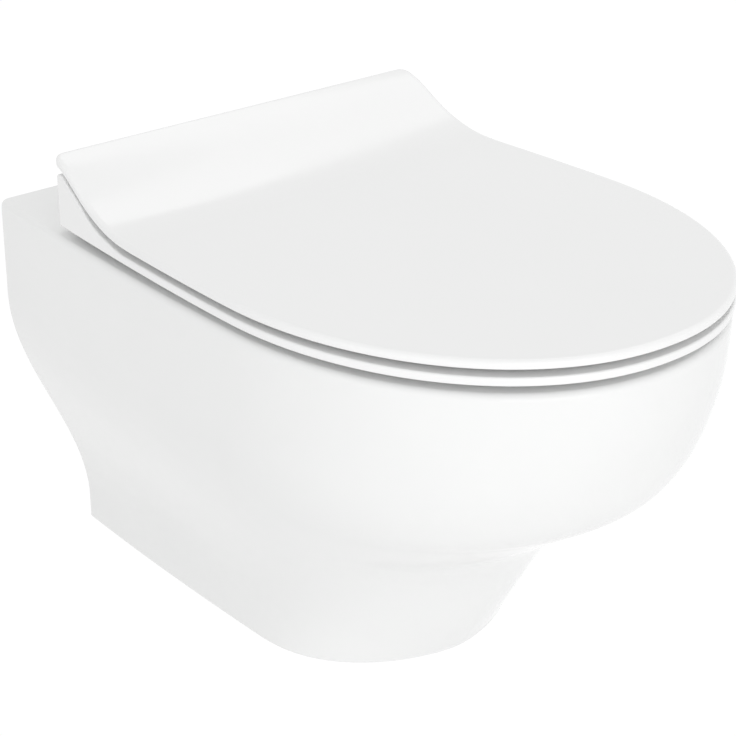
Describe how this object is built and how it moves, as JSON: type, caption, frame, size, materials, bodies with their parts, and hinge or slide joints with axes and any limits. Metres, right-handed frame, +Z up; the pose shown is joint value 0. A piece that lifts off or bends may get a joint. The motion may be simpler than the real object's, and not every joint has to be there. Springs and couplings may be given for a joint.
{
  "type": "wall hung toilet",
  "caption": "Wall hung ceramic toilet pan with a slim closed seat and lid on soft close hinges, hidden wall brackets, rear flush inlet and waste outlet.",
  "frame": {"origin": "midway between the two wall studs, in the finished wall face", "axes": "+Z up, +Y into the wall, +X to the right seen from the front, pan stands out along -Y"},
  "size_m": [0.36, 0.541, 0.357],
  "materials": {
    "glaze": "gloss white glaze",
    "seat_plastic": "gloss white moulded resin",
    "white_plastic": "moulded",
    "grey_plastic": "moulded",
    "buffer": "soft, light grey",
    "rubber": "matte",
    "steel": "brushed stainless",
    "hinge_metal": "polished",
    "bracket_steel": "zinc grey"
  },
  "bodies": {
    "pan": {"pan_deck": "glaze", "pan_skirt": "glaze", "pan_floor": "glaze", "pan_bowl": "glaze", "pan_trap": "glaze", "pan_inlet": "glaze", "flush_spreader": "white_plastic", "fixing_bracket_left": "bracket_steel", "fixing_bracket_right": "bracket_steel", "stud_washer_left": "steel", "stud_washer_right": "steel", "stud_nut_left": "steel", "stud_nut_right": "steel", "clamp_washer_left": "steel", "clamp_washer_right": "steel", "clamp_screw_left": "steel", "clamp_screw_right": "steel", "base_gasket_left": "rubber", "base_gasket_right": "rubber", "hinge_base_left": "steel", "hinge_base_right": "steel", "fixing_bolt_left": "steel", "fixing_bolt_right": "steel", "deck_plug_left": "rubber", "deck_plug_right": "rubber", "plug_nut_left": "steel", "plug_nut_right": "steel", "hinge_post_left": "hinge_metal", "hinge_post_right": "hinge_metal", "hinge_axle_left": "steel", "hinge_axle_right": "steel"},
    "seat": {"seat_ring": "seat_plastic", "seat_damper": "grey_plastic", "seat_bush": "grey_plastic", "seat_buffer_rear_left": "buffer", "seat_buffer_rear_right": "buffer", "seat_buffer_front_left": "buffer", "seat_buffer_front_right": "buffer"},
    "lid": {"lid": "seat_plastic", "lid_damper": "grey_plastic", "lid_bush": "grey_plastic", "lid_buffer_left": "buffer", "lid_buffer_right": "buffer"}
  },
  "joints": [
    {"name": "seat_hinge", "type": "hinge", "parent": "pan", "child": "seat", "pos_m": [0, -0.097, 0.112], "axis": [-1, 0, 0], "range_deg": [0, 97]},
    {"name": "lid_hinge", "type": "hinge", "parent": "seat", "child": "lid", "pos_m": [0, -0.097, 0.112], "axis": [-1, 0, 0], "range_deg": [0, 100]}
  ]
}
